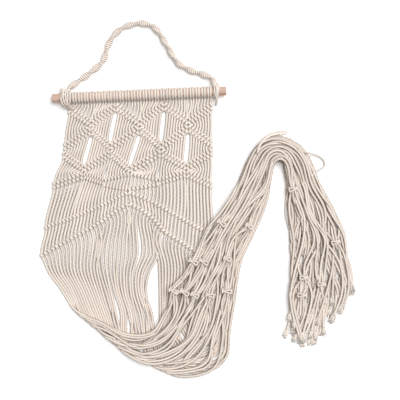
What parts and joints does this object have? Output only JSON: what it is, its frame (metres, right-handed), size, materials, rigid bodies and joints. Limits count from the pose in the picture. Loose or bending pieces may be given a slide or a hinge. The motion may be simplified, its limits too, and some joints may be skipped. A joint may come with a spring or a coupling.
{
  "type": "tapestry wall hanging",
  "caption": "Knotted cotton macrame wall hanging on a wooden dowel, with a twisted hanger, a lattice of diamonds, two broad chevrons and a long fringe swept to one side, laid flat.",
  "frame": {"origin": "on the flat back of the knotted panel, below the middle of the dowel's length and 5.4 mm inside the panel's top edge", "axes": "+X along the dowel to the right as seen from the front, +Y from the fringe towards the hanger, +Z out of the wall towards the viewer"},
  "size_m": [0.6383, 0.7474, 0.0287],
  "materials": {
    "cotton": "matte",
    "dowel_wood": "satin"
  },
  "bodies": {
    "panel": {"larks_head_01": "cotton", "larks_head_02": "cotton", "larks_head_03": "cotton", "larks_head_04": "cotton", "larks_head_05": "cotton", "larks_head_06": "cotton", "larks_head_07": "cotton", "larks_head_08": "cotton", "larks_head_09": "cotton", "larks_head_10": "cotton", "larks_head_11": "cotton", "larks_head_12": "cotton", "larks_head_13": "cotton", "larks_head_14": "cotton", "larks_head_15": "cotton", "larks_head_16": "cotton", "larks_head_17": "cotton", "larks_head_18": "cotton", "larks_head_19": "cotton", "larks_head_20": "cotton", "larks_head_21": "cotton", "larks_head_22": "cotton", "larks_head_23": "cotton", "larks_head_24": "cotton", "top_knot_band": "cotton", "knot_row_2": "cotton", "knot_row_3": "cotton", "knot_row_4": "cotton", "strands_upper_left": "cotton", "diamond_upper_left": "cotton", "diamond_upper_right": "cotton", "strands_upper_right": "cotton", "diamond_middle_left": "cotton", "diamond_middle": "cotton", "diamond_middle_right": "cotton", "strands_lower_left": "cotton", "diamond_lower_left": "cotton", "diamond_lower_right": "cotton", "strands_lower_right": "cotton", "centre_diamond": "cotton", "strand_field_left": "cotton", "strand_field_right": "cotton", "chevron_band_left": "cotton", "chevron_band_right": "cotton", "fringe_left_1": "cotton", "fringe_left_2": "cotton", "fringe_left_3": "cotton", "fringe_left_4": "cotton", "fringe_middle_1": "cotton", "fringe_middle_2": "cotton", "fringe_middle_3": "cotton", "fringe_middle_4": "cotton", "fringe_right_1": "cotton", "fringe_right_2": "cotton", "fringe_right_3": "cotton", "fringe_right_4": "cotton"},
    "dowel": {"dowel": "dowel_wood"},
    "hanger": {"hanger_sinnet": "cotton", "hanger_knot_left": "cotton", "hanger_knot_right": "cotton"}
  },
  "joints": [
    {"name": "dowel_spin", "type": "hinge", "parent": "panel", "child": "dowel", "pos_m": [0, 0.02, 0.014], "axis": [1, 0, 0], "continuous": true},
    {"name": "hanger_swing", "type": "hinge", "parent": "panel", "child": "hanger", "pos_m": [0, 0.02, 0.014], "axis": [1, 0, 0], "range_deg": [0, 170]}
  ]
}
